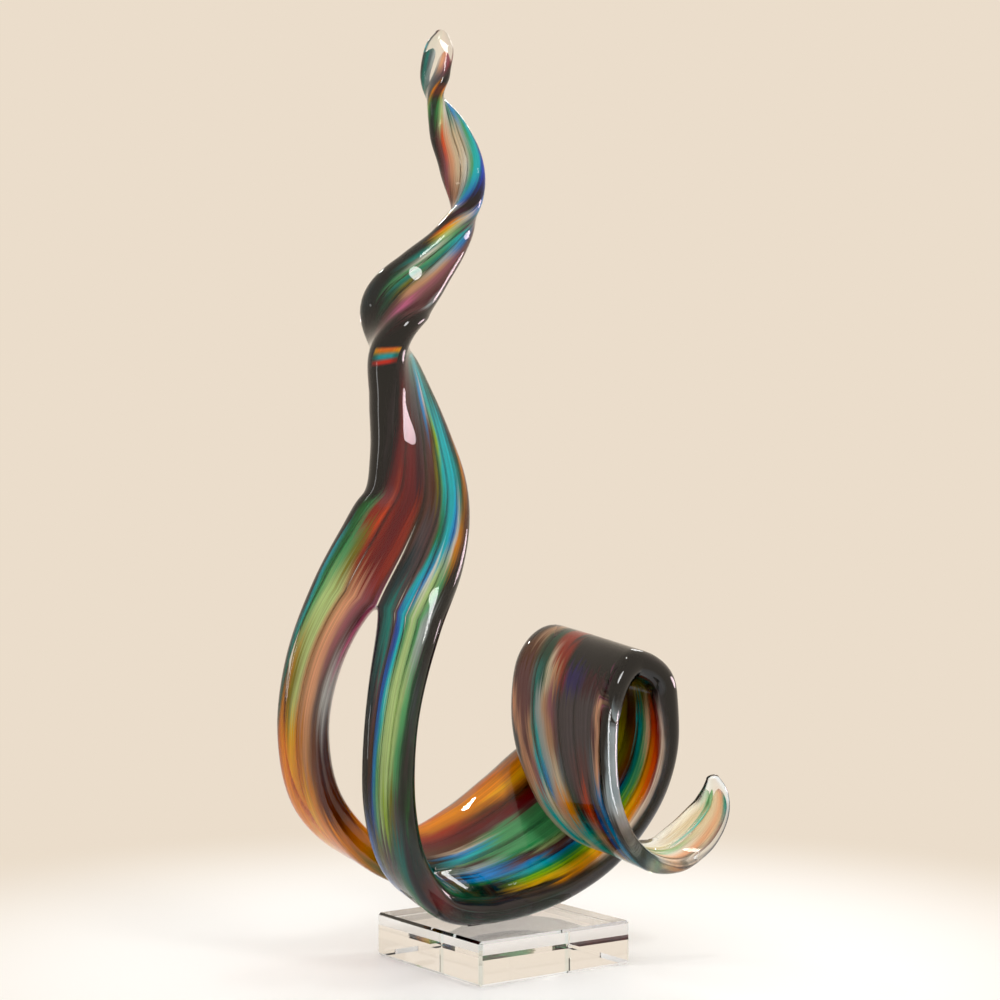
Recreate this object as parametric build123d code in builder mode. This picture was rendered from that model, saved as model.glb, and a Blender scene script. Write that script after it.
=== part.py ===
"""Glass wave sculpture: a twisted ribbon of clear glass with coloured canes inside, on a crystal plinth.

X runs along the front edge of the plinth, Y to its back and Z up. The origin is the middle of the plinth's
underside. The ribbon is drawn from its spire down the left arm, through the trough that rests on the plinth,
up the right arm, over the crest and down to a small curled tail.
"""
import os
from math import cos, pi, sin

from build123d import *

# Plinth, in millimetres
plinth_side = 85.0
plinth_height = 20.0
plinth_bevel = 1.2

# Clear adhesive between the ground flat under the ribbon and the plinth
bond_thickness = 0.3

# Ribbon: half its run along X, the depth its middle line may move in Y, the height of its tip above the
# plinth, and the greatest width and thickness of the band
half_run = 100.0
run_depth = 50.0
spire_rise = 411.5
band_width = 76.0
band_thickness = 18.0

# Stations down the ribbon: shares of half run, depth, rise, band width and band thickness, then the turn of
# the band about its run and the lean of the band along its run, in degrees. The turn is measured from straight
# front.
station_shares = [
    (-0.310, 0.10, 1.000, 0.050, 0.22, -630, 0),  # spire tip
    (-0.320, 0.10, 0.982, 0.170, 0.39, -612, 0),
    (-0.345, 0.10, 0.953, 0.185, 0.44, -590, 0),
    (-0.345, 0.10, 0.923, 0.185, 0.44, -505, 0),  # first crossing
    (-0.275, 0.10, 0.889, 0.250, 0.50, -440, 0),
    (-0.200, 0.10, 0.851, 0.275, 0.55, -410, 0),
    (-0.175, 0.10, 0.804, 0.275, 0.66, -340, 0),  # second crossing
    (-0.265, 0.10, 0.764, 0.260, 0.66, -280, 0),
    (-0.415, 0.10, 0.726, 0.340, 0.78, -255, 0),
    (-0.560, 0.10, 0.688, 0.430, 0.88, -222, 0),
    (-0.595, 0.10, 0.640, 0.470, 1.00, -146, 0),  # third crossing
    (-0.545, 0.10, 0.593, 0.560, 1.00, -122, 0),
    (-0.480, 0.10, 0.535, 0.660, 0.94, -107, 0),
    (-0.448, 0.10, 0.476, 0.730, 0.90, -90, 0),
    (-0.515, 0.10, 0.423, 0.780, 0.88, -72, 0),
    (-0.665, 0.10, 0.355, 0.820, 0.85, -56, 0),  # the slit opens
    (-0.780, 0.10, 0.284, 0.870, 0.83, -42, 0),
    (-0.820, 0.12, 0.214, 0.895, 0.83, -32, 0),
    (-0.775, 0.16, 0.143, 0.910, 0.83, -18, 0),
    (-0.620, 0.22, 0.083, 0.900, 0.83, 2, 0),
    (-0.400, 0.29, 0.048, 0.880, 0.83, 18, 0),
    (-0.170, 0.33, 0.045, 0.900, 0.83, 30, 0),  # the slit has closed, bottom of the trough
    (0.057, 0.36, 0.057, 0.945, 0.83, 37, -2),
    (0.280, 0.38, 0.077, 1.010, 0.83, 40, -3),
    (0.490, 0.36, 0.107, 1.050, 0.83, 38, -3),
    (0.700, 0.36, 0.151, 1.020, 0.83, 31, -5),
    (0.820, 0.36, 0.210, 1.000, 0.83, 20, -10),
    (0.840, 0.36, 0.265, 0.970, 0.83, 3, -13),
    (0.680, 0.36, 0.292, 0.955, 0.83, -9, 0),  # crest
    (0.530, 0.30, 0.270, 0.930, 0.78, -13, 12),
    (0.430, 0.17, 0.223, 0.840, 0.72, -14, 15),
    (0.370, -0.04, 0.174, 0.740, 0.66, -14, 17),
    (0.348, -0.29, 0.127, 0.625, 0.61, -12, 23),
    (0.392, -0.54, 0.091, 0.510, 0.55, -5, 31),
    (0.495, -0.76, 0.070, 0.390, 0.50, 15, 45),  # lowest point of the tail
    (0.620, -0.90, 0.070, 0.340, 0.45, 45, 38),
    (0.740, -0.97, 0.088, 0.320, 0.44, 65, 22),
    (0.830, -1.02, 0.114, 0.270, 0.40, 73, 7),
    (0.855, -1.04, 0.137, 0.190, 0.33, 73, 0),
    (0.843, -1.04, 0.159, 0.050, 0.22, 68, 0),  # tail tip
]

# Sections are drawn at every half station, and at every quarter station in the twisted spire. Each broad face
# of the band has three strips, and each round edge four flats.
section_step = 0.5
spire_step = 0.25
spire_end = 11.0
face_strips = 3
edge_flats = 4
tip_thickness_share = 0.8

# The slit that parts the left arm into two strands: it opens fast below its upper end and closes slowly
slit_start = 15.0
slit_end = 20.5
slit_width = 20.0
slit_nose = 1.5
slit_bevel = 3.0
slit_skew_share = 0.8
slit_fullness_share = 0.9

# Coloured canes, which lie side by side and nearly fill the band: the lane where each one starts and the lane
# where it ends, counted across the half band from the far edge (-1) to the near edge (1), its width as a share
# of the half band, its first station and its last
cane_thickness_share = 0.45
cane_nose_share = 0.30
cane_taper = 1.5
cane_shares = {
    "turquoise_cane": (-0.83, -0.86, 0.12, 8.0, 17.0),
    "lime_cane": (-0.64, -0.63, 0.24, 10.5, 16.5),
    "amber_cane": (-0.67, -0.70, 0.34, 17.0, 28.0),
    "coral_cane": (-0.70, -0.66, 0.30, 28.5, 34.0),
    "ruby_cane": (-0.27, -0.27, 0.42, 1.5, 26.5),
    "smoke_cane": (-0.26, -0.24, 0.42, 27.0, 34.5),
    "teal_cane": (0.16, 0.16, 0.20, 3.0, 33.0),
    "amethyst_cane": (0.35, 0.38, 0.12, 9.0, 32.0),
    "cobalt_cane": (0.54, 0.57, 0.16, 1.5, 29.0),
    "jade_cane": (0.77, 0.76, 0.20, 10.0, 21.5),
    "topaz_cane": (0.79, 0.79, 0.20, 22.0, 29.5),
}


def row_at(place):
    """Shares, turn and lean at a place counted in stations, on a smooth curve through the stations."""
    last = len(station_shares) - 1
    place = min(max(place, 0), last)
    index = min(int(place), last - 1)
    along = place - index
    after = [station_shares[min(index + offset, last)] for offset in (0, 1, 2)]
    before = station_shares[max(index - 1, 0)]
    return [
        (
            2 * here
            + (ahead - back) * along
            + (2 * back - 5 * here + 4 * ahead - beyond) * along**2
            + (3 * here - back - 3 * ahead + beyond) * along**3
        )
        / 2
        for back, here, ahead, beyond in zip(before, *after)
    ]


def middle_at(place):
    """Middle of the band at a place."""
    run, depth, rise = row_at(place)[:3]
    floor = plinth_height + bond_thickness
    return Vector(run * half_run, depth * run_depth, floor + rise * spire_rise)


def width_at(place):
    """Width of the band at a place."""
    return row_at(place)[3] * band_width


def thickness_at(place):
    """Thickness of the band at a place, a little less than its width at the two tips."""
    return min(row_at(place)[4] * band_thickness, tip_thickness_share * width_at(place))


def plane_at(place):
    """Plane across the band: its X runs from the far edge to the near edge, its Z down the run."""
    turn, lean = row_at(place)[5:]
    run = middle_at(place + section_step / 2) - middle_at(place - section_step / 2)
    upright = Plane(origin=middle_at(place), x_dir=(0, -1, 0), z_dir=run)
    return Plane(upright.location * Location((0, 0, 0), (0, 0, turn)) * Location((0, 0, 0), (0, -lean, 0)))


def slit_at(place):
    """Width of the slit at a place, zero where the band is whole."""
    along = (place - slit_start) / (slit_end - slit_start)
    if not 0 < along < 1:
        return 0
    return slit_width * sin(pi * along**slit_skew_share) ** slit_fullness_share


def places_between(start, end):
    """Places of the sections from start to end, closer together in the spire."""
    count = round((end - start) / spire_step)
    fine = [start + spire_step * index for index in range(count + 1)]
    return [place for place in fine if place < spire_end or place % section_step == 0]


def band_outline(width, thickness):
    """Points round a flat band whose two edges are half rounds drawn as flats."""
    radius = thickness / 2
    inset = width / 2 - radius
    half_round = [pi * (index / edge_flats - 0.5) for index in range(edge_flats + 1)]
    near_edge = [(inset + radius * cos(angle), radius * sin(angle)) for angle in half_round]
    outer_face = [(inset - 2 * inset * strip / face_strips, radius) for strip in range(1, face_strips)]
    half = near_edge + outer_face
    return half + [(-across, -up) for across, up in half]


def cane_outline(middle, width, thickness):
    """Points round a flattened six-sided cane."""
    shoulder = width / 4
    return [
        (middle + width / 2, 0),
        (middle + shoulder, thickness / 2),
        (middle - shoulder, thickness / 2),
        (middle - width / 2, 0),
        (middle - shoulder, -thickness / 2),
        (middle + shoulder, -thickness / 2),
    ]


def slit_outline(width, thickness):
    """Points round the slit's section, narrowest at mid thickness, so that both strands have bevelled edges."""
    waist = thickness / 4
    right = [
        (width / 2 + slit_bevel, -thickness),
        (width / 2 + slit_bevel, -thickness / 2),
        (width / 2, -waist),
        (width / 2, waist),
        (width / 2 + slit_bevel, thickness / 2),
        (width / 2 + slit_bevel, thickness),
    ]
    return right + [(-across, -up) for across, up in right]


def ring_at(place, outline):
    """Points of an outline, set on the plane across the band at a place."""
    plane = plane_at(place)
    return [plane.from_local_coords(Vector(across, up, 0)) for across, up in outline]


def drawn_through(rings):
    """Solid drawn through rings of points, which flat triangles join: a twisted band has no flat quads."""
    faces = [Face(Wire.make_polygon(end)) for end in (rings[0], rings[-1])]
    for back, ahead in zip(rings, rings[1:]):
        corners = zip(back, back[1:] + back[:1], ahead, ahead[1:] + ahead[:1])
        for back_here, back_next, ahead_here, ahead_next in corners:
            faces.append(Face(Wire.make_polygon((back_here, back_next, ahead_next))))
            faces.append(Face(Wire.make_polygon((back_here, ahead_next, ahead_here))))
    return Solid(Shell(faces))


def band_ring(place):
    """Ring round the band at a place."""
    return ring_at(place, band_outline(width_at(place), thickness_at(place)))


def slit_ring(place):
    """Ring round the slit at a place, never narrower than its nose."""
    return ring_at(place, slit_outline(max(slit_at(place), slit_nose), thickness_at(place)))


def cane_ring(place, first_lane, last_lane, share, start, end):
    """Ring of one coloured cane at a place, in its own lane and tapered to a small nose at both ends."""
    lane = first_lane + (last_lane - first_lane) * (place - start) / (end - start)
    side = 1 if lane > 0 else -1
    half_band = (width_at(place) - slit_at(place)) / 2
    middle = side * slit_at(place) / 2 + lane * half_band
    from_end = min(place - start, end - place) / cane_taper
    size = min(cane_nose_share + (1 - cane_nose_share) * from_end, 1)
    width = share * half_band * size
    thickness = cane_thickness_share * thickness_at(place) * size
    return ring_at(place, cane_outline(middle, width, thickness))


def save(part, name):
    """Label a finished piece and write it to its own file."""
    part.label = name
    export_step(part, f"parts/{name}.step")


os.makedirs("parts", exist_ok=True)

# Crystal plinth: a square slab with polished bevels
with BuildPart() as plinth:
    Box(plinth_side, plinth_side, plinth_height, align=(Align.CENTER, Align.CENTER, Align.MIN))
    chamfer(plinth.edges(), plinth_bevel)
save(plinth.part, "crystal_plinth")

# Coloured canes
canes = []
for name, shares in cane_shares.items():
    with BuildPart() as cane:
        add(drawn_through([cane_ring(place, *shares) for place in places_between(*shares[-2:])]))
    save(cane.part, name)
    canes.append(cane.part)

# Clear ribbon: the band, less the slit between its strands, the ground flat and the room that the canes take
last_station = len(station_shares) - 1
with BuildPart() as ribbon:
    add(drawn_through([band_ring(place) for place in places_between(0, last_station)]))
    slit_rings = [slit_ring(place) for place in places_between(slit_start, slit_end)]
    add(drawn_through(slit_rings), mode=Mode.SUBTRACT)
    with Locations((0, 0, plinth_height + bond_thickness)):
        Box(
            2 * half_run,
            2 * half_run,
            plinth_height,
            align=(Align.CENTER, Align.CENTER, Align.MAX),
            mode=Mode.SUBTRACT,
        )
    ground_flat = ribbon.faces().filter_by(Axis.Z).sort_by(SortBy.AREA)[-1]
    add(canes, mode=Mode.SUBTRACT)
save(ribbon.part, "clear_ribbon")

# Adhesive: a thin film under the ground flat
with BuildPart() as bond:
    extrude(ground_flat, amount=bond_thickness, dir=(0, 0, -1))
save(bond.part, "adhesive_film")

flat_size = ground_flat.bounding_box().size
print("ribbon valid", ribbon.part.is_valid, "volume", round(ribbon.part.volume), "ground flat", flat_size)
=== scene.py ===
"""Glass wave sculpture: a twisted ribbon of clear furnace glass with coloured canes inside, on a crystal plinth.

The ribbon is drawn from stations along its run, from the spire's tip down the slit arm, through the trough, up the
right arm, over the crest and down to the tail. Its outer skin, its canes and their colours all follow one band
shape, so every streak runs with the glass as it does in a drawn-out gather.
"""
import logging
import math
from dataclasses import dataclass, field
from enum import Enum

import bpy
from mathutils import Matrix, Vector


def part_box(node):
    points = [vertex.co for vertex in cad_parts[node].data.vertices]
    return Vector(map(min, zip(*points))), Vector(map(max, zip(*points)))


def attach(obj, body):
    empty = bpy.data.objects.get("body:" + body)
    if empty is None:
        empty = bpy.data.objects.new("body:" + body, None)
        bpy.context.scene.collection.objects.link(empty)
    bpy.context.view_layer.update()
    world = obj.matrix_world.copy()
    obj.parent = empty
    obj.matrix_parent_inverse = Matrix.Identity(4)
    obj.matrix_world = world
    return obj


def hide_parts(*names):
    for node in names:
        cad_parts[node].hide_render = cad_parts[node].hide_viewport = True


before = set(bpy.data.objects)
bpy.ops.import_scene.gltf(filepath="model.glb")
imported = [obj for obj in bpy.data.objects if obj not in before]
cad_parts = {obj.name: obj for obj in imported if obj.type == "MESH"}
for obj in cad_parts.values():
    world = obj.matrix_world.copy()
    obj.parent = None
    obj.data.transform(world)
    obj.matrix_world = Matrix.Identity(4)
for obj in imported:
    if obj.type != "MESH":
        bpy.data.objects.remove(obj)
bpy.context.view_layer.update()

log = logging.getLogger("sculpture")

MM = 0.001
ROOT = "root"


def linear(code: str) -> tuple[float, float, float, float]:
    """Turns an sRGB hex colour into linear values.

    Args:
        code: Six hex digits with a leading hash.

    Returns:
        Linear red, green, blue and an alpha of one.
    """
    parts = [int(code[i : i + 2], 16) / 255 for i in (1, 3, 5)]
    values = [c / 12.92 if c <= 0.04045 else ((c + 0.055) / 1.055) ** 2.4 for c in parts]
    return values[0], values[1], values[2], 1.0


def add_node(tree: bpy.types.NodeTree, kind: str, settings: dict | None = None, links: dict | None = None):
    """Adds one shader node with its settings and its incoming links.

    Args:
        tree: The node tree of a material, a node group or the world.
        kind: The node's type name, less its ShaderNode prefix.
        settings: Attribute names, or socket names and numbers, with the value for each.
        links: Socket names or numbers, with the output that feeds each.

    Returns:
        The new node.
    """
    node = tree.nodes.new("ShaderNode" + kind)
    for name, value in (settings or {}).items():
        if isinstance(name, str) and hasattr(node, name):
            setattr(node, name, value)
        else:
            node.inputs[name].default_value = value
    for name, output in (links or {}).items():
        tree.links.new(output, node.inputs[name])
    return node


def smooth(low: float, high: float, value: float) -> float:
    """Smooth step from zero at low to one at high."""
    t = min(max((value - low) / (high - low), 0.0), 1.0)
    return t * t * (3 - 2 * t)


# Stations down the ribbon: shares of half run, depth, rise, band width and band thickness, then the turn of the
# band about its run and the lean of the band along its run, in degrees
STATION_SHARES = (
    (-0.310, 0.10, 1.000, 0.050, 0.22, -630, 0),
    (-0.320, 0.10, 0.982, 0.170, 0.39, -612, 0),
    (-0.345, 0.10, 0.953, 0.185, 0.44, -590, 0),
    (-0.345, 0.10, 0.923, 0.185, 0.44, -505, 0),
    (-0.275, 0.10, 0.889, 0.250, 0.50, -440, 0),
    (-0.200, 0.10, 0.851, 0.275, 0.55, -410, 0),
    (-0.175, 0.10, 0.804, 0.275, 0.66, -340, 0),
    (-0.265, 0.10, 0.764, 0.260, 0.66, -280, 0),
    (-0.415, 0.10, 0.726, 0.340, 0.78, -255, 0),
    (-0.560, 0.10, 0.688, 0.430, 0.88, -222, 0),
    (-0.595, 0.10, 0.640, 0.470, 1.00, -146, 0),
    (-0.545, 0.10, 0.593, 0.560, 1.00, -122, 0),
    (-0.480, 0.10, 0.535, 0.660, 0.94, -107, 0),
    (-0.448, 0.10, 0.476, 0.730, 0.90, -90, 0),
    (-0.515, 0.10, 0.423, 0.780, 0.88, -72, 0),
    (-0.665, 0.10, 0.355, 0.820, 0.85, -56, 0),
    (-0.780, 0.10, 0.284, 0.870, 0.83, -42, 0),
    (-0.820, 0.12, 0.214, 0.895, 0.83, -32, 0),
    (-0.775, 0.16, 0.143, 0.910, 0.83, -18, 0),
    (-0.620, 0.22, 0.083, 0.900, 0.83, 2, 0),
    (-0.400, 0.29, 0.048, 0.880, 0.83, 18, 0),
    (-0.170, 0.33, 0.045, 0.900, 0.83, 30, 0),
    (0.057, 0.36, 0.057, 0.945, 0.83, 37, -2),
    (0.280, 0.38, 0.077, 1.010, 0.83, 40, -3),
    (0.490, 0.36, 0.107, 1.050, 0.83, 38, -3),
    (0.700, 0.36, 0.151, 1.020, 0.83, 31, -5),
    (0.820, 0.36, 0.210, 1.000, 0.83, 20, -10),
    (0.840, 0.36, 0.265, 0.970, 0.83, 3, -13),
    (0.680, 0.36, 0.292, 0.955, 0.83, -9, 0),
    (0.530, 0.30, 0.270, 0.930, 0.78, -13, 12),
    (0.430, 0.17, 0.223, 0.840, 0.72, -14, 15),
    (0.370, -0.04, 0.174, 0.740, 0.66, -14, 17),
    (0.348, -0.29, 0.127, 0.625, 0.61, -12, 23),
    (0.392, -0.54, 0.091, 0.510, 0.55, -5, 31),
    (0.495, -0.76, 0.070, 0.390, 0.50, 15, 45),
    (0.620, -0.90, 0.070, 0.340, 0.45, 45, 38),
    (0.740, -0.97, 0.088, 0.320, 0.44, 65, 22),
    (0.830, -1.02, 0.114, 0.270, 0.40, 73, 7),
    (0.855, -1.04, 0.137, 0.190, 0.33, 73, 0),
    (0.843, -1.04, 0.159, 0.050, 0.22, 68, 0),
)
LAST = len(STATION_SHARES) - 1


@dataclass
class Section:
    """One section across the band, in metres."""

    place: float
    middle: Vector
    across: Vector
    outward: Vector
    run: Vector
    width: float
    thickness: float
    gap: float
    crease: float = 0.0

    def point(self, across: float, up: float) -> Vector:
        """Point at a distance across the band and above its middle surface."""
        return self.middle + self.across * across + self.outward * up


@dataclass
class BandShape:
    """The band that the whole ribbon follows. Lengths are in metres."""

    half_run: float = 100.0 * MM
    run_depth: float = 50.0 * MM
    rise: float = 411.5 * MM
    width: float = 76.0 * MM
    thickness: float = 18.0 * MM
    slit_start: float = 15.0
    slit_end: float = 20.5
    slit_width: float = 20.0 * MM
    slit_bevel: float = 3.6 * MM
    slit_skew: float = 0.8
    slit_fullness: float = 0.9
    tip_thickness: float = 0.8
    crown: float = 0.06
    crease_depth: float = 0.30
    crease_lead: float = 2.2
    crease_width: float = 2.6 * MM
    probe: float = 0.25
    floor: float = 0.0
    limits: tuple = ()

    def __post_init__(self) -> None:
        """Takes the ribbon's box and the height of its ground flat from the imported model."""
        self.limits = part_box("clear_ribbon")
        self.floor = self.limits[0].z

    def row(self, place: float) -> list[float]:
        """Interpolates the stations with a smooth curve through them.

        Args:
            place: Place along the ribbon, counted in stations.

        Returns:
            The seven station values there.
        """
        place = min(max(place, 0.0), float(LAST))
        index = min(int(place), LAST - 1)
        t = place - index
        back = STATION_SHARES[max(index - 1, 0)]
        here, ahead, beyond = (STATION_SHARES[min(index + k, LAST)] for k in (0, 1, 2))
        return [
            (2 * b + (c - a) * t + (2 * a - 5 * b + 4 * c - d) * t**2 + (3 * b - a - 3 * c + d) * t**3) / 2
            for a, b, c, d in zip(back, here, ahead, beyond)
        ]

    def middle(self, place: float) -> Vector:
        """Middle of the band at a place."""
        run, depth, rise = self.row(place)[:3]
        return Vector((run * self.half_run, depth * self.run_depth, self.floor + rise * self.rise))

    def slit(self, place: float) -> float:
        """Width of the slit at a place."""
        along = (place - self.slit_start) / (self.slit_end - self.slit_start)
        if not 0.0 < along < 1.0:
            return 0.0
        return self.slit_width * math.sin(math.pi * along**self.slit_skew) ** self.slit_fullness

    def section(self, place: float) -> Section:
        """Works out the section across the band at a place.

        Args:
            place: Place along the ribbon, counted in stations.

        Returns:
            The section with its directions and sizes.
        """
        values = self.row(place)
        run = (self.middle(place + self.probe) - self.middle(place - self.probe)).normalized()
        front = Vector((0.0, -1.0, 0.0))
        across = (front - run * front.dot(run)).normalized()
        across = Matrix.Rotation(math.radians(values[5]), 3, run) @ across
        outward = run.cross(across)
        lean = math.radians(values[6])
        across = across * math.cos(lean) + run * math.sin(lean)
        width = values[3] * self.width
        thickness = min(values[4] * self.thickness, self.tip_thickness * width)
        crease = smooth(self.slit_start - self.crease_lead, self.slit_start, place)
        crease *= 1 - smooth(self.slit_end, self.slit_end + self.crease_lead / 2, place)
        return Section(
            place, self.middle(place), across, outward, run, width, thickness, self.slit(place), crease
        )

    def half_height(self, section: Section, across: float) -> float:
        """Half thickness of the band at a distance across it: crowned faces, round edges and slit walls.

        Args:
            section: The section across the band.
            across: Distance from the band's middle, either way.

        Returns:
            Height of the skin above the middle surface, zero outside the glass.
        """
        across = abs(across)
        half_width = section.width / 2
        radius = section.thickness / 2
        into_edge = max(across - (half_width - radius), 0.0) / radius
        bevel = min(self.slit_bevel, section.gap / 2)
        into_wall = max(section.gap / 2 + bevel - across, 0.0) / bevel if bevel else 0.0
        if max(into_edge, into_wall) >= 1.0:
            return 0.0
        height = radius * (1 - self.crown * min(across / half_width, 1.0) ** 2)
        height *= 1 - self.crease_depth * section.crease * math.exp(-(((across - section.gap / 2) / self.crease_width) ** 2))
        return height * math.sqrt((1 - into_edge**2) * (1 - into_wall**2))


def new_piece(name: str, points: list, faces: list, replaces: tuple[str, ...]) -> bpy.types.Object:
    """Makes a mesh object with smooth faces that rides on the root.

    Args:
        name: The piece's name.
        points: Vertex positions.
        faces: Vertex numbers of each face.
        replaces: CAD nodes that the piece stands for.

    Returns:
        The new object.
    """
    mesh = bpy.data.meshes.new(name)
    mesh.from_pydata(points, [], faces)
    mesh.validate()
    mesh.polygons.foreach_set("use_smooth", [True] * len(mesh.polygons))
    mesh.update()
    piece = bpy.data.objects.new(name, mesh)
    bpy.context.scene.collection.objects.link(piece)
    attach(piece, ROOT)
    if replaces:
        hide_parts(*replaces)
    return piece


def store(mesh: bpy.types.Mesh, name: str, values: list[float]) -> None:
    """Writes one number for each vertex into a named attribute."""
    layer = mesh.attributes.new(name, "FLOAT", "POINT")
    layer.data.foreach_set("value", values)


@dataclass
class ClearRibbon:
    """The clear casing: a band with round edges, a slit in its left arm and rounded tips."""

    band: BandShape
    steps_per_station: int = 10
    face_points: int = 18
    edge_points: int = 14
    wall_points: int = 9
    wall_lane: float = 0.05
    tip_rings: int = 6
    tip_start: float = 0.3
    tip_reach: float = 0.8
    nose_step: float = 0.02
    nose_steps: int = 5
    points: list = field(default_factory=list)
    places: list = field(default_factory=list)
    lanes: list = field(default_factory=list)

    def section_places(self) -> list[float]:
        """Places of the sections, closer together at the two noses of the slit."""
        count = LAST * self.steps_per_station
        places = {round(index / self.steps_per_station, 4) for index in range(count + 1)}
        places = {place for place in places if self.tip_start <= place <= LAST - self.tip_start}
        for end, way in ((self.band.slit_start, 1), (self.band.slit_end, -1)):
            places |= {round(end + way * self.nose_step * index**1.5, 4) for index in range(1, self.nose_steps)}
        return sorted(places)

    def half_loop(self, section: Section, side: int) -> list[tuple[float, float, float]]:
        """Points from the middle of one face round the edge to the middle of the other.

        Args:
            section: The section across the band.
            side: One for the near half, minus one for the far half.

        Returns:
            Across, up and lane of each point.
        """
        half_width = section.width / 2
        radius = section.thickness / 2
        bevel = min(self.band.slit_bevel, section.gap / 2)
        inner = section.gap / 2 + bevel
        outer = half_width - radius
        stops = [inner + (outer - inner) * index / self.face_points for index in range(self.face_points)]
        face = [(across, self.band.half_height(section, across)) for across in stops]
        rim = self.band.half_height(section, outer)
        edge = []
        for index in range(self.edge_points + 1):
            angle = math.pi * (0.5 - index / self.edge_points)
            edge.append((outer + radius * math.cos(angle), rim * math.sin(angle)))
        loop = face + edge + [(across, -up) for across, up in reversed(face)]
        span = half_width - section.gap / 2
        return [(side * across, up, side * (across - section.gap / 2) / span) for across, up in loop]

    def wall(self, section: Section, side: int) -> list[tuple[float, float, float]]:
        """Points down the rounded wall of the slit, between the two face corners of one strand."""
        bevel = min(self.band.slit_bevel, section.gap / 2)
        top = self.band.half_height(section, section.gap / 2 + bevel)
        points = []
        for index in range(1, self.wall_points):
            angle = math.pi * (0.5 - index / self.wall_points)
            across = section.gap / 2 + bevel * (1 - math.cos(angle))
            lane = (across - section.gap / 2) / (section.width / 2 - section.gap / 2)
            points.append((side * across, top * math.sin(angle), side * max(lane, self.wall_lane)))
        return points

    def put(self, section: Section, points: list[tuple[float, float, float]]) -> list[int]:
        """Adds points of a section to the mesh and returns their numbers."""
        numbers = []
        low, high = self.band.limits
        for across, up, lane in points:
            spot = section.point(across, up)
            spot = Vector(min(max(value, low[i]), high[i]) for i, value in enumerate(spot))
            numbers.append(len(self.points))
            self.points.append(spot)
            self.places.append(section.place)
            self.lanes.append(lane)
        return numbers

    def tip_sections(self, at_start: bool) -> list[Section]:
        """Shrinking sections that round off one tip of the ribbon."""
        place = self.tip_start if at_start else LAST - self.tip_start
        base = self.band.section(place)
        way = -1 if at_start else 1
        reach = base.thickness / 2 * self.tip_reach
        rings = []
        for index in range(1, self.tip_rings + 1):
            angle = math.pi / 2 * index / (self.tip_rings + 0.35)
            shrink = math.cos(angle)
            middle = base.middle + base.run * (way * reach * math.sin(angle))
            rings.append(
                Section(place, middle, base.across, base.outward, base.run, base.width * shrink,
                        base.thickness * shrink, 0.0)
            )
        return list(reversed(rings)) if at_start else rings

    def build(self) -> bpy.types.Object:
        """Builds the casing's mesh.

        Returns:
            The casing.
        """
        sections = self.tip_sections(True) + [self.band.section(p) for p in self.section_places()]
        sections += self.tip_sections(False)
        faces = []
        before = None
        for section in sections:
            near = self.put(section, self.half_loop(section, 1))
            far_points = self.half_loop(section, -1)
            if section.gap > 0.0:
                far = self.put(section, far_points)
                walls = self.put(section, self.wall(section, 1)), self.put(section, self.wall(section, -1))
            else:
                far = [near[0]] + self.put(section, far_points[1:-1]) + [near[-1]]
                touches = section.place in (self.band.slit_start, self.band.slit_end)
                seam = self.put(section, self.wall(section, 1)) if touches else []
                walls = seam, seam
            now = near, far, ([near[0]] + walls[0] + [near[-1]], [far[0]] + walls[1] + [far[-1]])
            if before is not None:
                faces += self.join(before, now)
            else:
                faces.append(near + far[-2:0:-1])
            before = now
        faces.append(list(reversed(before[0] + before[1][-2:0:-1])))
        piece = new_piece("ribbon_casing", self.points, faces, ("clear_ribbon",))
        store(piece.data, "place", self.places)
        store(piece.data, "lane", self.lanes)
        return piece

    def join(self, before: tuple, now: tuple) -> list[tuple[int, ...]]:
        """Faces between two sections, with the walls of the slit where it is open."""
        faces = []
        for side in (0, 1):
            a, b = before[side], now[side]
            for i in range(len(a) - 1):
                quad = (a[i], a[i + 1], b[i + 1], b[i])
                faces.append(quad if side else tuple(reversed(quad)))
        walled = min(len(before[2][0]), len(now[2][0])) > 2
        both_seams = before[2][0] == before[2][1] and now[2][0] == now[2][1]
        if walled and not both_seams:
            for side in (0, 1):
                a, b = before[2][side], now[2][side]
                for i in range(len(a) - 1):
                    quad = tuple(dict.fromkeys((a[i], a[i + 1], b[i + 1], b[i])))
                    faces.append(tuple(reversed(quad)) if side else quad)
        return faces


@dataclass(frozen=True)
class CaneRun:
    """Where one coloured cane runs: its far and near lane at places down the ribbon."""

    node: str
    rows: tuple[tuple[float, float, float], ...]

    def bounds(self, place: float) -> tuple[float, float]:
        """Far and near lane of the cane at a place."""
        rows = self.rows
        for (start, *here), (end, *ahead) in zip(rows, rows[1:]):
            if place <= end:
                share = smooth(start, end, place)
                return here[0] + (ahead[0] - here[0]) * share, here[1] + (ahead[1] - here[1]) * share
        return rows[-1][1], rows[-1][2]


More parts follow.
